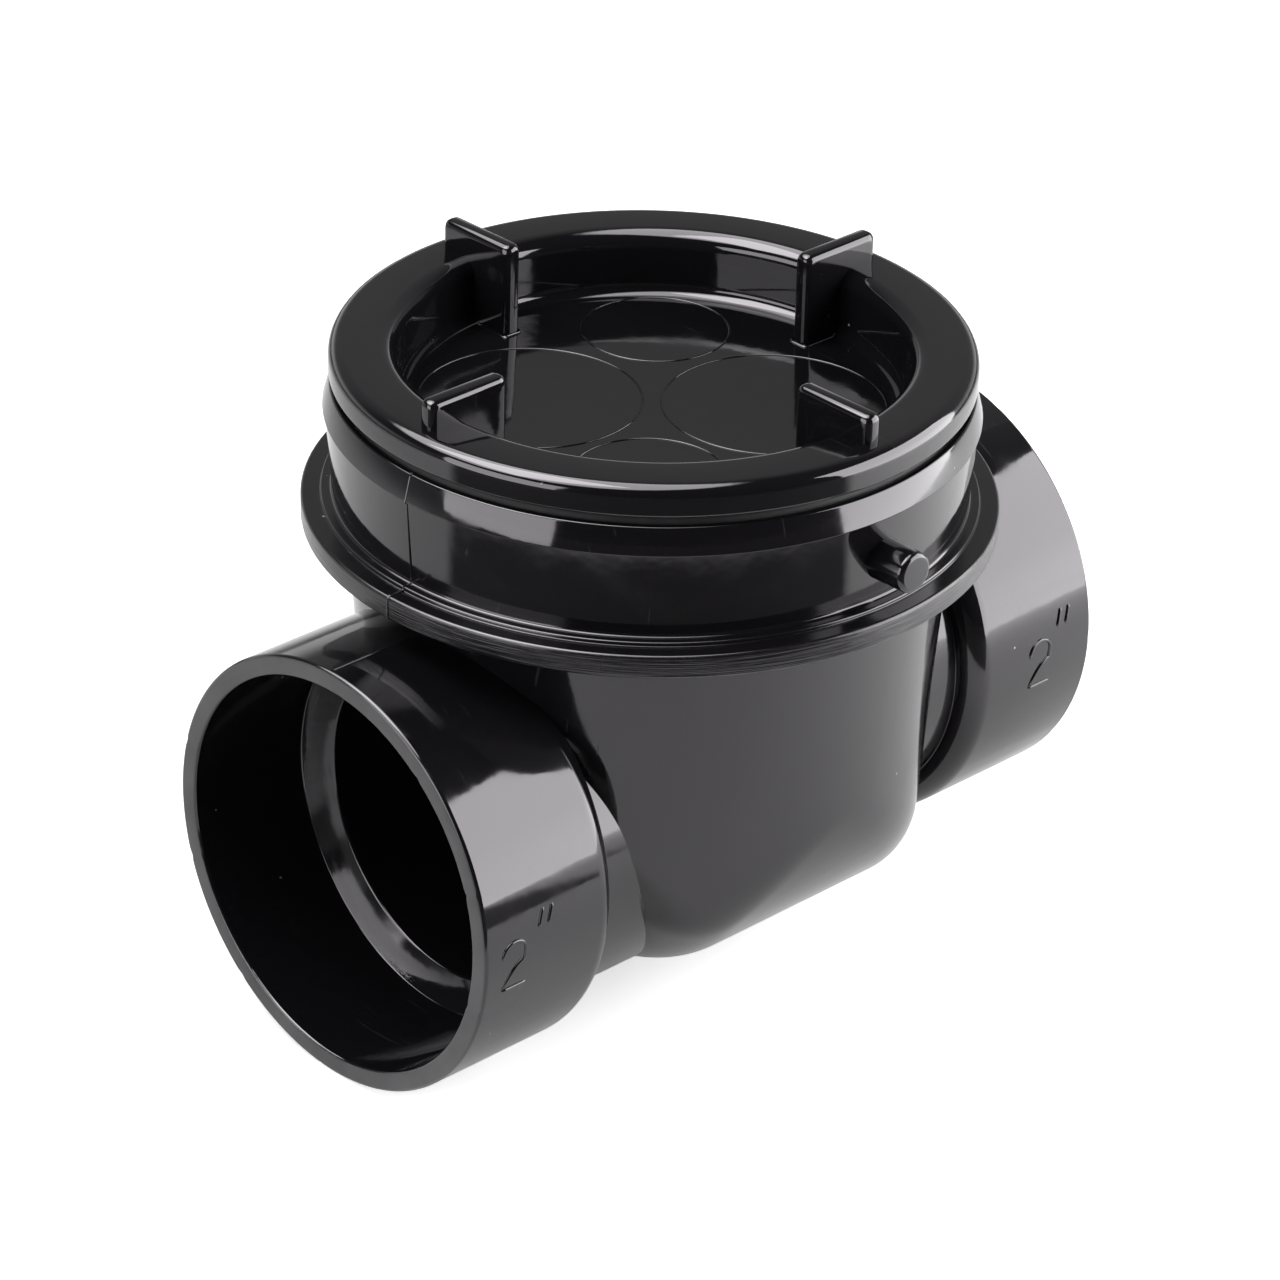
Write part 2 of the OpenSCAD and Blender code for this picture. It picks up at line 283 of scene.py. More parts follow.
def new_finish(name):
    """An empty material's node tree, and the object coordinates in it, in metres."""
    finish = bpy.data.materials.new(name)
    finish.use_nodes = True
    finish.node_tree.nodes.clear()
    place = Shade(finish.node_tree).node("ShaderNodeTexCoord", output=3)
    return finish, place


ABS_BLACK = (0.0047, 0.0043, 0.0051, 1)
ABS_SCRATCHED = (0.04, 0.038, 0.041, 1)
ABS_SAWN = (0.07, 0.07, 0.072, 1)
ABS_SHEEN = (1.0, 0.965, 1.0, 1)
DUST = (0.20, 0.20, 0.20, 1)


def moulded_black(name, turned_from=None):
    """Glossy black ABS: soft waves from the mould, fine scratches and dust. With turned_from, also the turned
    edge of the flange beyond that radius, its dull top, the dull peg and the sawn faces of the two mouths."""
    finish, place = new_finish(name)
    wave = place.node("ShaderNodeTexNoise", sockets={"Vector": place, "Scale": 48.0, "Detail": 2.0})
    patch = place.node("ShaderNodeTexNoise", sockets={"Vector": place, "Scale": 130.0, "Detail": 3.0})
    along = place.node("ShaderNodeMapping", sockets={"Vector": place, "Rotation": (0.5, 0.9, 0.3),
                                                     "Scale": (3000.0, 60.0, 130.0)})
    streak = place.node("ShaderNodeTexNoise", sockets={"Vector": along, "Scale": 1.0, "Detail": 1.0})
    scratch = streak.between(0.69, 0.76) * patch.between(0.5, 0.62)
    cell = place.node("ShaderNodeTexVoronoi", {"feature": "F1"}, {"Vector": place, "Scale": 240.0})
    pick = place.node("ShaderNodeTexVoronoi", {"feature": "F1"}, {"Vector": place, "Scale": 240.0}, output=1)
    chance = pick.node("ShaderNodeSeparateColor", sockets={"Color": pick})
    ripple = place.node("ShaderNodeTexNoise", sockets={"Vector": place, "Scale": 380.0, "Detail": 1.0})
    speck = (1 - cell.between(0.03, 0.06)) * (chance > 0.9)
    colour = (scratch * 0.3).mix(ABS_BLACK, ABS_SCRATCHED)
    colour = speck.mix(colour, DUST)
    rough = 0.05 + patch.between(0.35, 0.75) * 0.07 + scratch * 0.12 + speck * 0.4
    height = wave * 1.3 + patch * 0.7 + ripple * 0.22 - scratch * 0.05 + speck * 0.3
    if turned_from is not None:
        x, y, z = [place.node("ShaderNodeSeparateXYZ", sockets={"Vector": place}, output=k) for k in range(3)]
        x = x - COLLAR_X * MM
        layers = place.node("ShaderNodeMapping", sockets={"Vector": place, "Scale": (70.0, 70.0, 5000.0)})
        rings = place.node("ShaderNodeTexNoise", sockets={"Vector": layers, "Scale": 1.0, "Detail": 2.0})
        across = x * x + y * y
        edge_low = (FLANGE_Z + 0.15) * MM
        edge_top = (FLANGE_TOP - 0.2) * MM
        face_top = (FLANGE_TOP + 0.7) * MM
        face_from = (COLLAR_FOOT_R + 0.4) * MM
        stub_from = (BAND_R + 0.2) * MM
        stub_low = (FLANGE_TOP + 1.5) * MM
        edge = (across > (turned_from * MM) ** 2) * (z > edge_low) * (z < edge_top)
        flange_face = (across > face_from ** 2) * (z > edge_top) * (z < face_top)
        stub = (y < -stub_from) * (z > stub_low)
        sawn = (x * x) > ((MOUTH - 0.1) * MM) ** 2
        height = height + rings * edge * 3.0 + patch * sawn * 0.5
        rough = rough + edge * 0.16 + sawn * 0.25 + flange_face * 0.1 + stub * 0.05
        colour = (sawn * 0.8 * patch).mix(colour, ABS_SAWN)
    bump = place.node("ShaderNodeBump", sockets={"Height": height, "Strength": 0.35, "Distance": 0.0001})
    shader = place.node("ShaderNodeBsdfPrincipled", sockets={
        "Base Color": colour, "Roughness": rough, "Normal": bump, "IOR": 1.53,
        "Specular Tint": ABS_SHEEN})
    place.node("ShaderNodeOutputMaterial", sockets={"Surface": shader})
    return finish


body_abs = moulded_black("black_abs_turned_flange", turned_from=FLANGE_R - 0.3)
black_abs = moulded_black("black_abs")


def chamber_shell(inset, cut_outlet, cut_inlet, outward):
    """The chamber's wall as seen from a point inside it, with a round hole of each cut radius for the necks.
    Corners that lie inside a hole are drawn out to its edge, and faces that lie inside it are left out."""
    centre = np.array([0, 0, 6.0])
    top = FLANGE_Z + 0.9
    azimuth = np.linspace(0, 2 * math.pi, 256, endpoint=False)[None, :]
    rise = math.atan2(top - centre[2], CHAMBER_R - inset)
    bottom_rows = np.linspace(-math.pi / 2 + 1e-4, -0.95, 30)
    side_rows = np.linspace(-0.93, rise, 60)
    elevation = np.concatenate([bottom_rows, side_rows])[:, None]
    ray = np.stack([np.cos(azimuth) * np.cos(elevation), np.sin(azimuth) * np.cos(elevation),
                    np.sin(elevation) + 0 * azimuth], -1)
    rows = centre + ray * reach(centre, ray, inset)[..., None]
    if not outward:
        rows = rows[::-1]
    socket_from = STOP - STOP_CONE - 0.6

    def clear_of_socket(p):
        from_axis = np.hypot(p[:, 1], p[:, 2] - np.where(p[:, 0] < 0, 0, INLET_Z))
        return (np.abs(p[:, 0]) < socket_from) | (from_axis > HUB_MIDDLE_R)

    points, faces = strip(rows, clear_of_socket)
    side = np.where(points[:, 0] < 0, -1.0, 1.0)
    axis_z = np.where(side < 0, 0, INLET_Z)
    up = points[:, 2] - axis_z
    pull = np.where(side < 0, cut_outlet, cut_inlet) / (np.hypot(points[:, 1], up) + 1e-9)
    inside = pull > 1
    start = np.stack([0 * pull, points[:, 1] * pull, axis_z + up * pull], -1)[inside]
    level_ray = np.stack([side, 0 * side, 0 * side], -1)[inside]
    points[inside] = start + level_ray * reach(start, level_ray, inset)[:, None]
    return points, [face for face in faces if not inside[face].all()]


def pipe_end(side, axis_z, way_r):
    """Neck and hub as one skin, and the socket, its stop and the way through as another. Small nicks wear the
    mouth's two edges."""
    around = 192
    wear_depth = 1.2
    angle = np.linspace(0, 2 * math.pi, around, endpoint=False)
    nick = np.maximum(np.sin(5 * angle + axis_z) * np.sin(37 * angle + 2) - 0.8, 0) * 0.45

    def ring(r, x):
        worn = nick * np.clip((x - MOUTH + wear_depth) / wear_depth, 0, 1)
        r = r - worn * np.sign(r - HUB_MIDDLE_R)
        along = side * (np.zeros(around) + x - worn)
        return np.stack([along, side * r * np.cos(angle), axis_z + r * np.sin(angle)], -1)

    def outside(p):
        return chamber_distance(p, CHAMBER_WALL / 2) > 0

    skin = [(NECK_R, x) for x in np.arange(NECK_FROM, HUB_BACK - 0.5)]
    skin += list(rounded([
        (NECK_R, HUB_BACK - 0.4, 0), (NECK_R, HUB_BACK, 0.15), (HUB_R, HUB_BACK, HUB_BACK_ROUND),
        (HUB_R, MOUTH, 0.6), (HUB_MIDDLE_R, MOUTH, 0)], steps=10))
    inside = rounded([
        (HUB_MIDDLE_R, MOUTH, 0), (SOCKET_R, MOUTH, 0.5), (SOCKET_R, STOP, 0.3),
        (way_r, STOP - STOP_CONE, 0.5), (way_r, 0.0, 0)])[:-1]
    start = ring(way_r, 0.0)
    ray = np.broadcast_to(np.array([side, 0.0, 0.0]), start.shape)
    end = ring(way_r, np.minimum(reach(start, ray, CHAMBER_WALL), STOP - STOP_CONE - 0.4))
    return [strip([ring(r, x) for r, x in skin], outside), strip([ring(r, x) for r, x in inside] + [end])]


collar_profile = rounded([
    (OPENING_R + 0.9, FLANGE_Z, 0), (FLANGE_R, FLANGE_Z, 0.5), (FLANGE_R, FLANGE_TOP, 0.5),
    (COLLAR_FOOT_R + FOOT_STEP, FLANGE_TOP, 0.15), (COLLAR_FOOT_R + FOOT_STEP, FLANGE_TOP + FOOT_STEP_H, 0.3),
    (COLLAR_FOOT_R + 0.1, FLANGE_TOP + FOOT_STEP_H, 0.5), (BAND_R - 0.4, BAND_Z - 0.05, 0.1),
    (BAND_R, BAND_Z + 0.1, 0.2), (BAND_R - BAND_LEAN, COLLAR_TOP, 0.35), (GROOVE_R, COLLAR_TOP, 0.2),
    (GROOVE_R, GROOVE_Z, 0.2), (THREAD_BORE_R, GROOVE_Z, 0.3), (THREAD_BORE_R, THREAD_FLOOR, 0.4),
    (OPENING_R, THREAD_FLOOR, 0.4), (OPENING_R, FLANGE_Z + 1, 0.1), (OPENING_R + 0.9, FLANGE_Z + 0.95, 0)])


def peg_shell():
    """The short round stub on the collar's side, with a rounded end."""
    around = 64
    angle = np.linspace(0, 2 * math.pi, around, endpoint=False)
    profile = rounded([(PEG_R, COLLAR_FOOT_R - 0.8, 0), (PEG_R - 0.1, PEG_TIP, 0.8), (0.01, PEG_TIP, 0)])
    rows = []
    for r, out in profile:
        rows.append(np.stack([r * np.cos(angle), np.full(around, -out), PEG_Z + r * np.sin(angle)], -1))
    return strip(rows)


MARK_R = 0.32
MARK_SINK = 0.06


def on_hub(strokes, x, arc, axis_z):
    """Raised strokes laid on a hub's side, drawn flat as (along, up) about a place x and arc on the hub."""
    beads = []
    for stroke in strokes:
        flat = np.asarray(stroke, float)
        turn = (arc + flat[:, 1]) / HUB_R
        r = HUB_R - MARK_SINK
        path = np.stack([x + flat[:, 0], -r * np.cos(turn), axis_z + r * np.sin(turn)], -1)
        ends = np.minimum(np.linspace(0, 1, len(path)), np.linspace(1, 0, len(path)))
        beads.append(bead(path, MARK_R * np.clip(ends * 12, 0.05, 1) ** 0.5))
    return beads


# the size mark, a plain figure two with the inch sign beside it
bowl = [(-2.3 * math.cos(t), 1.6 + 2.2 * math.sin(t)) for t in np.linspace(-0.15, 2.7, 24)]
sweep = [(2.1 - 4.4 * s, 0.7 - 4.5 * s + 0.9 * math.sin(math.pi * s)) for s in np.linspace(0.05, 1, 16)]
figure_two = [bowl + sweep, [(-2.2 + 4.7 * s, -3.8) for s in np.linspace(0, 1, 12)]]
inch_sign = [[(dx - 0.5 + s, 3.0 * s - 1.5) for s in np.linspace(0, 1, 10)] for dx in (-0.9, 0.9)]
size_marks = (on_hub(figure_two, -56.75, -1.75, 0) + on_hub(inch_sign, -50.8, 4.0, 0)
              + on_hub(figure_two, 51.1, -0.6, INLET_Z) + on_hub(inch_sign, 56.2, 5.7, INLET_Z))

# the mould's parting line, up both ends of flange and collar and along the tops of the hubs
SEAM_FROM = 41.0
SEAM_TO = 61.4
SEAM_R = 0.13
collar_outline = [(r, z) for r, z in collar_profile if r > GROOVE_R + 0.3]
seams = []
for side, top in ((-1, HUB_R), (1, HUB_R + INLET_Z)):
    uneven = 0.16 + 0.08 * np.sin(np.arange(len(collar_outline)) * 2.3)
    seams.append(bead([(side * r, 0.0, z) for r, z in collar_outline], uneven, sides=8))
    seams.append(bead([(side * x, 0.0, top) for x in np.linspace(SEAM_FROM, SEAM_TO, 30)], SEAM_R, sides=8))

# the collar's screw thread, a round ridge that climbs to the right
THREAD_PITCH = 4.0
THREAD_LOW = 46.4
THREAD_HIGH = 56.4
THREAD_SINK = 0.15
RIDGE_R = 0.8


def thread(radius, phase):
    """A helical ridge that fades in and out at its ends."""
    rise = THREAD_HIGH - THREAD_LOW
    turns = rise / THREAD_PITCH
    turn = np.linspace(0, 2 * math.pi * turns, int(turns * 120))
    climb = THREAD_LOW + turn / turn[-1] * rise
    path = np.stack([radius * np.cos(turn + phase), radius * np.sin(turn + phase), climb], -1)
    ends = np.minimum(turn, turn[-1] - turn)
    return bead(path, RIDGE_R * np.clip(ends / 0.5, 0.05, 1))


neck_middle_r = (THROAT_R + NECK_R) / 2
body_moulding = build("valve_body_moulding", [
    chamber_shell(0.0, neck_middle_r, neck_middle_r, True),
    chamber_shell(CHAMBER_WALL, THROAT_R, INLET_BORE_R, False),
    *pipe_end(-1, 0.0, THROAT_R), *pipe_end(1, INLET_Z, INLET_BORE_R), turned(collar_profile), peg_shell(),
    *size_marks, *seams, thread(THREAD_BORE_R - THREAD_SINK, math.pi)], body_abs, "body")
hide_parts("valve_body")


# Seat ring and its O-ring
# A moulded ABS tube pushed into the inlet wall from inside, with the slanted seat and two hinge ears, sealed
# by a small rubber ring in a groove. Both keep their CAD shapes.
RUBBER_BLACK = (0.008, 0.008, 0.008, 1)
RUBBER_BLOOM = (0.022, 0.022, 0.021, 1)


def soft_rubber(name):
    """Black rubber: dull, with a fine pitted skin and a bloom of pale dust."""
    finish, place = new_finish(name)
    pits = place.node("ShaderNodeTexNoise", sockets={"Vector": place, "Scale": 1400.0, "Detail": 4.0})
    bloom = place.node("ShaderNodeTexNoise", sockets={"Vector": place, "Scale": 90.0, "Detail": 4.0})
    colour = bloom.between(0.45, 0.75).mix(RUBBER_BLACK, RUBBER_BLOOM)
    bump = place.node("ShaderNodeBump", sockets={"Height": pits, "Strength": 0.4, "Distance": 0.0001})
    shader = place.node("ShaderNodeBsdfPrincipled", sockets={
        "Base Color": colour, "Roughness": 0.55 + bloom * 0.3, "Normal": bump})
    place.node("ShaderNodeOutputMaterial", sockets={"Surface": shader})
    return finish


def dress(node, finish):
    """Gives a CAD node its finish."""
    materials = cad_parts[node].data.materials
    materials.clear()
    materials.append(finish)


black_rubber = soft_rubber("black_rubber")
dress("seat_ring", black_abs)
dress("seat_o_ring", black_rubber)


# Hinge pin and its washers
# A plain stainless rod through the ears of the seat ring and the arms of the flapper. A push-on washer at each
# end keeps it in place. Both keep their CAD shapes.
STEEL_DARK = (0.50, 0.51, 0.52, 1)
STEEL_BRIGHT = (0.68, 0.69, 0.70, 1)


def plain_steel(name):
    """Drawn stainless rod: fine lines along Y and a slightly uneven polish."""
    finish, place = new_finish(name)
    along = place.node("ShaderNodeMapping", sockets={"Vector": place, "Scale": (4000.0, 90.0, 4000.0)})
    lines = place.node("ShaderNodeTexNoise", sockets={"Vector": along, "Scale": 1.0, "Detail": 2.0})
    colour = lines.mix(STEEL_DARK, STEEL_BRIGHT)
    bump = place.node("ShaderNodeBump", sockets={"Height": lines, "Strength": 0.2, "Distance": 0.00005})
    shader = place.node("ShaderNodeBsdfPrincipled", sockets={
        "Base Color": colour, "Metallic": 1.0, "Roughness": 0.22 + lines * 0.2, "Normal": bump})
    place.node("ShaderNodeOutputMaterial", sockets={"Surface": shader})
    return finish


stainless = plain_steel("stainless")
dress("hinge_pin", stainless)
dress("pin_washers", stainless)


# Flapper, seal, retainer and screws
# The swinging ABS plate with its rubber ring, clamped from the inlet side by a disc and three screws. The
# screws are stainless pan heads with a cross recess, drawn in the slanted seat's own frame.
SEAT_X = 23.0
SEAT_LEAN = math.radians(10)
SCREW_CIRCLE_R = 10.0
SCREW_R = 1.45
SCREW_HEAD_R = 3.0
SCREW_HEAD_H = 1.6
SCREW_FLAT_R = 2.1
SCREW_LEN = 9.0
UNDER_HEAD = -1.95
CROSS_REACH = 1.75
CROSS_HALF = 0.42
CROSS_DEPTH = 0.95
CROSS_WALL = 0.12
CROSS_SLOPE = 0.5

dress("flapper", black_abs)
dress("flapper_seal", black_rubber)
dress("seal_retainer", black_abs)


def on_seat(points):
    """Points of the seat's frame, whose Z runs from inlet to outlet, placed in the body."""
    lean = math.sin(SEAT_LEAN)
    upright = math.cos(SEAT_LEAN)
    x, y, z = points.T
    return np.stack([lean * x - upright * z + SEAT_X, y, upright * x + lean * z + INLET_Z], -1)


def cross_screw(place_turn, cross_turn):
    """One screw, as rings from the middle of its head's face outwards and along to the shank's end."""
    angle = np.linspace(0, 2 * math.pi, 96, endpoint=False)
    face = UNDER_HEAD - SCREW_HEAD_H
    end = UNDER_HEAD + SCREW_LEN
    rows = []
    for r in np.linspace(0.02, SCREW_FLAT_R, 22):
        u = np.abs(r * np.cos(angle - cross_turn))
        v = np.abs(r * np.sin(angle - cross_turn))
        wall = np.clip((CROSS_HALF - np.minimum(u, v)) / CROSS_WALL, 0, 1)
        slope = np.clip((CROSS_REACH - np.maximum(u, v)) / CROSS_SLOPE, 0, 1)
        rows.append((r, face + CROSS_DEPTH * wall * slope))
    rows += list(rounded([
        (SCREW_FLAT_R, face, 0), (SCREW_HEAD_R, face, 0.7), (SCREW_HEAD_R, UNDER_HEAD, 0.1),
        (SCREW_R, UNDER_HEAD, 0.05), (SCREW_R, end, 0.4), (0.02, end, 0)]))
    rings = [np.stack([r * np.cos(angle), r * np.sin(angle), z + 0 * angle], -1) for r, z in rows]
    points, faces = strip(rings)
    centre = np.array([SCREW_CIRCLE_R * math.cos(place_turn), SCREW_CIRCLE_R * math.sin(place_turn), 0])
    return on_seat(points + centre), faces


screws = [cross_screw(math.radians(60 + 120 * k), 0.4 + 0.9 * k) for k in range(3)]
screw_set = build("retainer_screw_set", screws, stainless, "flapper")
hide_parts("retainer_screws")


# Cover ring
# The rubber ring in the gap between collar and cover, where it shows as a dark line. It lies on the cover's
# land and keeps its CAD shape.
dress("cover_o_ring", black_rubber)


# Access cover
# The screw-in cover, one moulding in the same black ABS: a rounded rim round a recess, four radial lugs to
# turn it by, and a threaded skirt that screws into the collar.
RIM_R = 47.2
RIM_Z = 60.9
RIM_TOP = 65.6
RECESS_R = 37.2
FLOOR_Z = 55.5
FLOOR_UNDER = 51.5
SKIRT_R = 42.2
SKIRT_IN = 39.0
SKIRT_BOTTOM = 45.0
LAND_R = 42.4
LUG_IN = 30.0
LUG_OUT = 44.4
LUG_TOP = 70.0
LUG_T = 3.0

cover_profile = rounded([
    (0.01, FLOOR_UNDER, 0), (SKIRT_IN, FLOOR_UNDER, 0.8), (SKIRT_IN, SKIRT_BOTTOM, 0.4),
    (SKIRT_R, SKIRT_BOTTOM, 0.5), (SKIRT_R, GROOVE_Z, 0.05), (LAND_R, GROOVE_Z + 0.1, 0.05),
    (LAND_R, RIM_Z, 0.2), (RIM_R, RIM_Z, 0.5), (RIM_R, RIM_TOP, 2.0), (RECESS_R, RIM_TOP, 2.6),
    (RECESS_R, FLOOR_Z, 2.0), (0.01, FLOOR_Z, 0)], steps=8)


def spun(points, turn):
    """Points turned about the collar's axis."""
    c, s = math.cos(turn), math.sin(turn)
    x, y, z = points.T
    return np.stack([x * c - y * s, x * s + y * c, z], -1)


def lug_shell(turn):
    """A radial wall with rounded edges, standing on the recess floor and over the rim."""
    soft = 1.1
    steps = 6
    half = LUG_T / 2
    foot = FLOOR_Z - 0.6
    rim_foot = RIM_TOP - 2.2
    outline = [(LUG_OUT, rim_foot)]
    for angle in np.linspace(0, math.pi / 2, steps):
        outline.append((LUG_OUT - soft + soft * math.cos(angle), LUG_TOP - soft + soft * math.sin(angle)))
    for angle in np.linspace(math.pi / 2, math.pi, steps):
        outline.append((LUG_IN + soft + soft * math.cos(angle), LUG_TOP - soft + soft * math.sin(angle)))
    outline = np.array(outline + [(LUG_IN, foot), (RECESS_R + 1, foot), (RECESS_R + 1, rim_foot)])
    middle = np.array([(LUG_IN + LUG_OUT) / 2, (foot + LUG_TOP) / 2])
    rows = []
    for angle in np.linspace(-math.pi / 2, math.pi / 2, 2 * steps + 1):
        pull = soft * (1 - math.cos(angle))
        shift = np.stack([np.sign(middle[0] - outline[:, 0]) * pull,
                          np.where(outline[:, 1] > middle[1] + 2, -pull, 0)], -1)
        flat = outline + shift
        across = (half - soft) * np.sign(angle) + soft * math.sin(angle)
        rows.append(np.stack([flat[:, 0], np.full(len(flat), across), flat[:, 1]], -1))
    points, faces = strip(rows)
    around = len(outline)
    faces = faces + [list(range(around))[::-1], [len(points) - around + k for k in range(around)]]
    return spun(points, turn), [face[::-1] for face in faces]


def lug_fillet(turn):
    """The small hollow fillet at a lug's foot on the recess floor, along its sides and round its inner end."""
    soft = 0.4
    half = LUG_T / 2
    rows = []
    for t in np.linspace(0, math.pi / 2, 6):
        gap = soft * (1 - math.sin(t))
        corner = soft + gap
        path = [(RECESS_R, -half - gap)]
        for angle in np.linspace(-math.pi / 2, 0, 6):
            path.append((LUG_IN + soft - corner * math.cos(angle), soft - half + corner * math.sin(angle)))
        path += [(x, -y) for x, y in path[::-1]]
        rows.append([(x, y, FLOOR_Z + soft * (1 - math.cos(t))) for x, y in path])
    points, faces = strip(rows)
    around = len(rows[0])
    open_faces = [face for face in faces if abs(face[0] % around - face[1] % around) == 1]
    return spun(points, turn), [face[::-1] for face in open_faces]


LARGE_MARK_R = 16.4
SMALL_MARK_R = 11.1
MARK_LINE_R = 0.17
MARK_LINE_SINK = 0.03


def ring_mark(x, y, r):
    """A thin raised circle on the recess floor, left by the mould's core pins."""
    around = 160
    angle = np.linspace(0, 2 * math.pi, around, endpoint=False)
    level = np.full(around, FLOOR_Z - MARK_LINE_SINK)
    return bead(np.stack([x + r * np.cos(angle), y + r * np.sin(angle), level], -1), MARK_LINE_R, closed=True)


marks = [ring_mark(-12.4, 12.8, LARGE_MARK_R), ring_mark(13.0, -12.0, LARGE_MARK_R),
         ring_mark(17.4, 17.6, SMALL_MARK_R), ring_mark(-16.2, -16.2, SMALL_MARK_R)]
quarters = [turn * math.pi / 2 for turn in range(4)]
cover_moulding = build("access_cover_moulding", [
    turned(cover_profile), *[lug_shell(turn) for turn in quarters],
    *[lug_fillet(turn) for turn in quarters], *marks,
    thread(SKIRT_R + THREAD_SINK, 0.0)], black_abs, "cover")
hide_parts("access_cover")


# Studio
# A plain sheet of paper, white round the valve and pale grey far off, with soft panels close by on the right,
# on the left and above. To every ray but the camera's, the sheet in front of the valve is painted dark, a
# painted dark reflection; the camera sees white paper there.
AZIMUTH = math.radians(-44.4)
ELEVATION = math.radians(28.72)
TILT = math.radians(1.55)
FOCAL_PIXELS = 5465.0
IMAGE = 1280
SENSOR = 36
CAMERA_AWAY = 822.29
CAMERA_RIGHT = -0.52
CAMERA_UP = 14.05
flat = math.cos(ELEVATION)
away = Vector((math.sin(AZIMUTH) * flat, -math.cos(AZIMUTH) * flat, math.sin(ELEVATION)))
level = Vector((math.cos(AZIMUTH), math.sin(AZIMUTH), 0))
upward = away.cross(level)
right = math.cos(TILT) * level + math.sin(TILT) * upward
up = math.cos(TILT) * upward - math.sin(TILT) * level
spot = away * CAMERA_AWAY + right * CAMERA_RIGHT + up * CAMERA_UP
lens = bpy.data.cameras.new("photo_camera")
lens.sensor_width = SENSOR
lens.lens = FOCAL_PIXELS / IMAGE * SENSOR
lens.clip_end = 50
camera = bpy.data.objects.new("photo_camera", lens)
bpy.context.scene.collection.objects.link(camera)
turn = Matrix((right, up, away)).transposed().to_4x4()
camera.matrix_world = Matrix.Translation(((spot.x + COLLAR_X) * MM, spot.y * MM, spot.z * MM)) @ turn
bpy.context.scene.camera = camera

FLOOR_HALF = 4
PAPER_DIM = (0.90, 0.90, 0.90, 1)
PAPER_BRIGHT = (0.94, 0.94, 0.94, 1)
# the dark colour of the painted reflection, painted on the sheet in front of the valve for every ray but the
# camera's
PAINTED_REFLECTION_DARK = (0.04, 0.04, 0.04, 1)
UNLIT_DARK = (0.02, 0.02, 0.02, 1)
NEAR_GLOW = (0.55, 0.55, 0.55, 1)
BACKDROP_GREY = (0.6, 0.6, 0.6, 1)
WHITE = (1, 1, 1, 1)
NO_GLOW = (0, 0, 0, 1)
# the way from the collar's axis towards the painted dark reflection on the sheet
PAINTED_REFLECTION_WAY = (-0.7, -0.714, 0)
floor_z = -HUB_R * MM
floor_finish, place = new_finish("floor_paper")
fibre = place.node("ShaderNodeTexNoise", sockets={"Vector": place, "Scale": 40.0, "Detail": 3.0})
paper_white = fibre.mix(PAPER_DIM, PAPER_BRIGHT)
below_collar = (COLLAR_X * MM, 0, floor_z)
offset = place.node("ShaderNodeVectorMath", {"operation": "SUBTRACT"}, {0: place, 1: below_collar})
distance = place.node("ShaderNodeVectorMath", {"operation": "LENGTH"}, {0: offset}, output=1)
bearing = place.node("ShaderNodeVectorMath", {"operation": "NORMALIZE"}, {0: offset})
in_front = place.node("ShaderNodeVectorMath", {"operation": "DOT_PRODUCT"},
                      {0: bearing, 1: PAINTED_REFLECTION_WAY}, output=1)

# every ray but the camera's meets a painted dark reflection, the sheet painted dark in front of the valve;
# the camera sees white paper with its shadow, then plain white, then grey
painted_dark_reflection = distance.between(0.143, 0.153) * in_front.between(0.36, 0.44)
far_off = distance.between(0.2, 0.28)
unlit = distance.between(0.27, 0.38)
backdrop = distance.between(0.4, 0.52)
by_camera = place.node("ShaderNodeLightPath")
# painted dark reflection: every ray but the camera's sees the sheet dark in front of the valve
paper_colour = by_camera.mix(painted_dark_reflection.mix(paper_white, PAINTED_REFLECTION_DARK), unlit.mix(paper_white, UNLIT_DARK))
paper_glow = by_camera.mix(NO_GLOW, backdrop.mix(far_off.mix(NEAR_GLOW, WHITE), BACKDROP_GREY))
paper = place.node("ShaderNodeBsdfPrincipled", sockets={
    "Base Color": paper_colour, "Roughness": 0.9, "Emission Color": paper_glow, "Emission Strength": 1.0})
place.node("ShaderNodeOutputMaterial", sockets={"Surface": paper})
floor_mesh = bpy.data.meshes.new("floor")
floor_corners = [(x * FLOOR_HALF, y * FLOOR_HALF, floor_z) for x, y in ((-1, -1), (1, -1), (1, 1), (-1, 1))]
floor_mesh.from_pydata(floor_corners, [], [(0, 1, 2, 3)])
floor_mesh.materials.append(floor_finish)
floor = bpy.data.objects.new("floor", floor_mesh)
bpy.context.scene.collection.objects.link(floor)

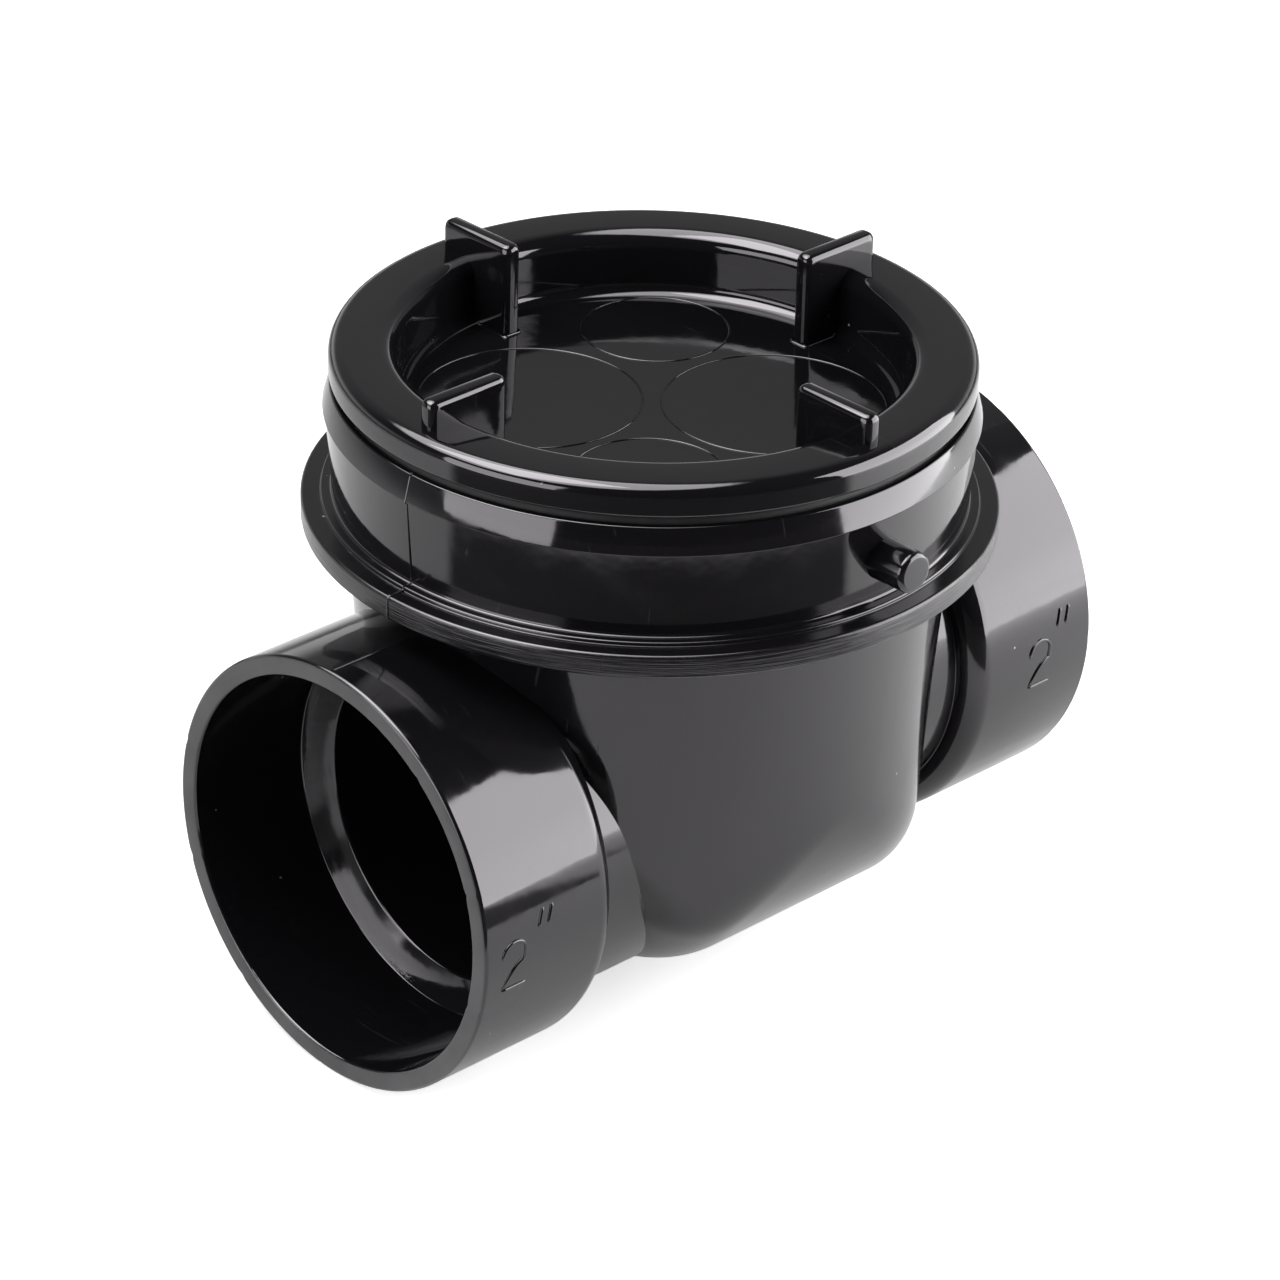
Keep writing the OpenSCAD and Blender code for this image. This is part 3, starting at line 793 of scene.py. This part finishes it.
TOWARD_BACK = (0.7, 0.7, 0)
TOWARD_ROOF = (-0.242, 0.242, 0.94)
world = bpy.data.worlds.new("studio")
bpy.context.scene.world = world
world.use_nodes = True
world.node_tree.nodes.clear()
sky = Shade(world.node_tree)
heading = sky.node("ShaderNodeTexCoord")
toward_back = sky.node("ShaderNodeVectorMath", {"operation": "DOT_PRODUCT"},
                       {0: heading, 1: TOWARD_BACK}, output=1)
height = sky.node("ShaderNodeSeparateXYZ", sockets={"Vector": heading}, output=2)
sweep_glow = (1 - height.between(0.08, 0.3)) * toward_back.between(-0.4, 0.3) * 0.8
wall_glow = toward_back.between(0.2, 0.7) * 0.24
toward_roof = sky.node("ShaderNodeVectorMath", {"operation": "DOT_PRODUCT"},
                       {0: heading, 1: TOWARD_ROOF}, output=1)
roof_glow = toward_roof.between(0.81, 0.86) * 6.5
glow = 0.03 + sweep_glow + wall_glow + roof_glow
plain = sky.node("ShaderNodeLightPath")
mirrored = sky.node("ShaderNodeLightPath", output=3)
seen = sky.node("ShaderNodeBackground", sockets={"Color": BACKDROP_GREY, "Strength": 1.0})
shine = sky.node("ShaderNodeBackground", sockets={"Color": WHITE, "Strength": glow})
ambient = sky.node("ShaderNodeBackground", sockets={"Color": WHITE, "Strength": 0.1})
lit = sky.node("ShaderNodeMixShader", sockets={0: mirrored, 1: ambient, 2: shine})
whole = sky.node("ShaderNodeMixShader", sockets={0: plain, 1: lit, 2: seen})
sky.node("ShaderNodeOutputWorld", sockets={"Surface": whole})


def soft_panel(name, azimuth, elevation, distance, width, height, radiance):
    """A rectangular soft light that faces the valve, of even brightness over its face."""
    lamp = bpy.data.lights.new(name, "AREA")
    lamp.shape = "RECTANGLE"
    lamp.size = width
    lamp.size_y = height
    lamp.energy = radiance * math.pi * width * height
    panel = bpy.data.objects.new(name, lamp)
    bpy.context.scene.collection.objects.link(panel)
    a, e = math.radians(azimuth), math.radians(elevation)
    way = Vector((math.cos(a) * math.cos(e), math.sin(a) * math.cos(e), math.sin(e)))
    panel.location = Vector((COLLAR_X * MM, 0, 0.01)) + way * distance
    panel.rotation_euler = (-way).to_track_quat("-Z", "Y").to_euler()
    panel.visible_camera = False


soft_panel("right_panel", azimuth=-44, elevation=15, distance=0.42, width=0.44, height=0.42, radiance=8.0)
soft_panel("left_panel", azimuth=176, elevation=15, distance=0.5, width=0.36, height=0.28, radiance=5.0)
soft_panel("top_panel", azimuth=150, elevation=65, distance=0.6, width=0.36, height=0.36, radiance=7.0)

bpy.context.scene.view_settings.view_transform = "Standard"
